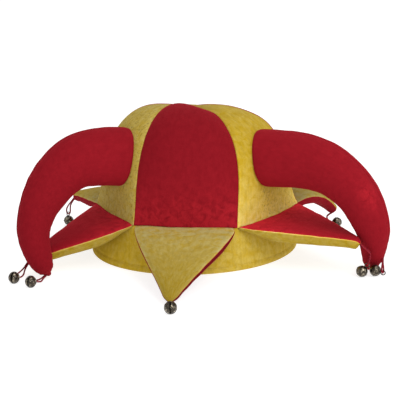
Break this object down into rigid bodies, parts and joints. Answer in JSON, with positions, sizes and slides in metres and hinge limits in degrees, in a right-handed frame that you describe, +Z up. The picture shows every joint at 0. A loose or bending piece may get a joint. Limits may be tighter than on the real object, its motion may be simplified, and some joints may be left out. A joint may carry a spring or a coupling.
{
  "type": "jester hat",
  "caption": "Padded velvet jester hat in red and yellow: puffed gored crown on a plain headband, stuffed points and curved horns, a jingle bell on a cord loop at every tip.",
  "frame": {"origin": "middle of the hat's own box, without cords and bells, on the surface that the rim stands on", "axes": "+Z up from the rim to the crown, -Y towards the front point, +X towards the right horn as seen from the front"},
  "size_m": [0.3277, 0.3694, 0.1383],
  "materials": {
    "red_velvet": "smooth short-pile velvet over wadding",
    "yellow_velvet": "crushed velvet with a mottled sheen",
    "antique_brass": "darkened brass, dull on the sides",
    "maroon_cord": "matt twisted cord"
  },
  "bodies": {
    "root": {"gore_front": "red_velvet", "gore_right_front": "yellow_velvet", "gore_right_back": "red_velvet", "gore_back": "yellow_velvet", "gore_left_back": "red_velvet", "gore_left_front": "yellow_velvet", "headband": "yellow_velvet", "point_front_top": "yellow_velvet", "point_right_front_top": "red_velvet", "point_right_back_top": "yellow_velvet", "point_back_top": "red_velvet", "point_left_back_top": "yellow_velvet", "point_left_front_top": "red_velvet", "point_front_under": "red_velvet", "point_right_front_under": "yellow_velvet", "point_right_back_under": "red_velvet", "point_back_under": "yellow_velvet", "point_left_back_under": "red_velvet", "point_left_front_under": "yellow_velvet", "horn_left": "red_velvet", "horn_right": "red_velvet", "bell_point_front": "antique_brass", "bell_point_right_front": "antique_brass", "bell_point_right_back": "antique_brass", "bell_point_back": "antique_brass", "bell_point_left_back": "antique_brass", "bell_point_left_front": "antique_brass", "bell_horn_left": "antique_brass", "bell_horn_right": "antique_brass", "cord_point_front": "maroon_cord", "cord_point_right_front": "maroon_cord", "cord_point_right_back": "maroon_cord", "cord_point_back": "maroon_cord", "cord_point_left_back": "maroon_cord", "cord_point_left_front": "maroon_cord", "cord_horn_left": "maroon_cord", "cord_horn_right": "maroon_cord"}
  },
  "joints": []
}
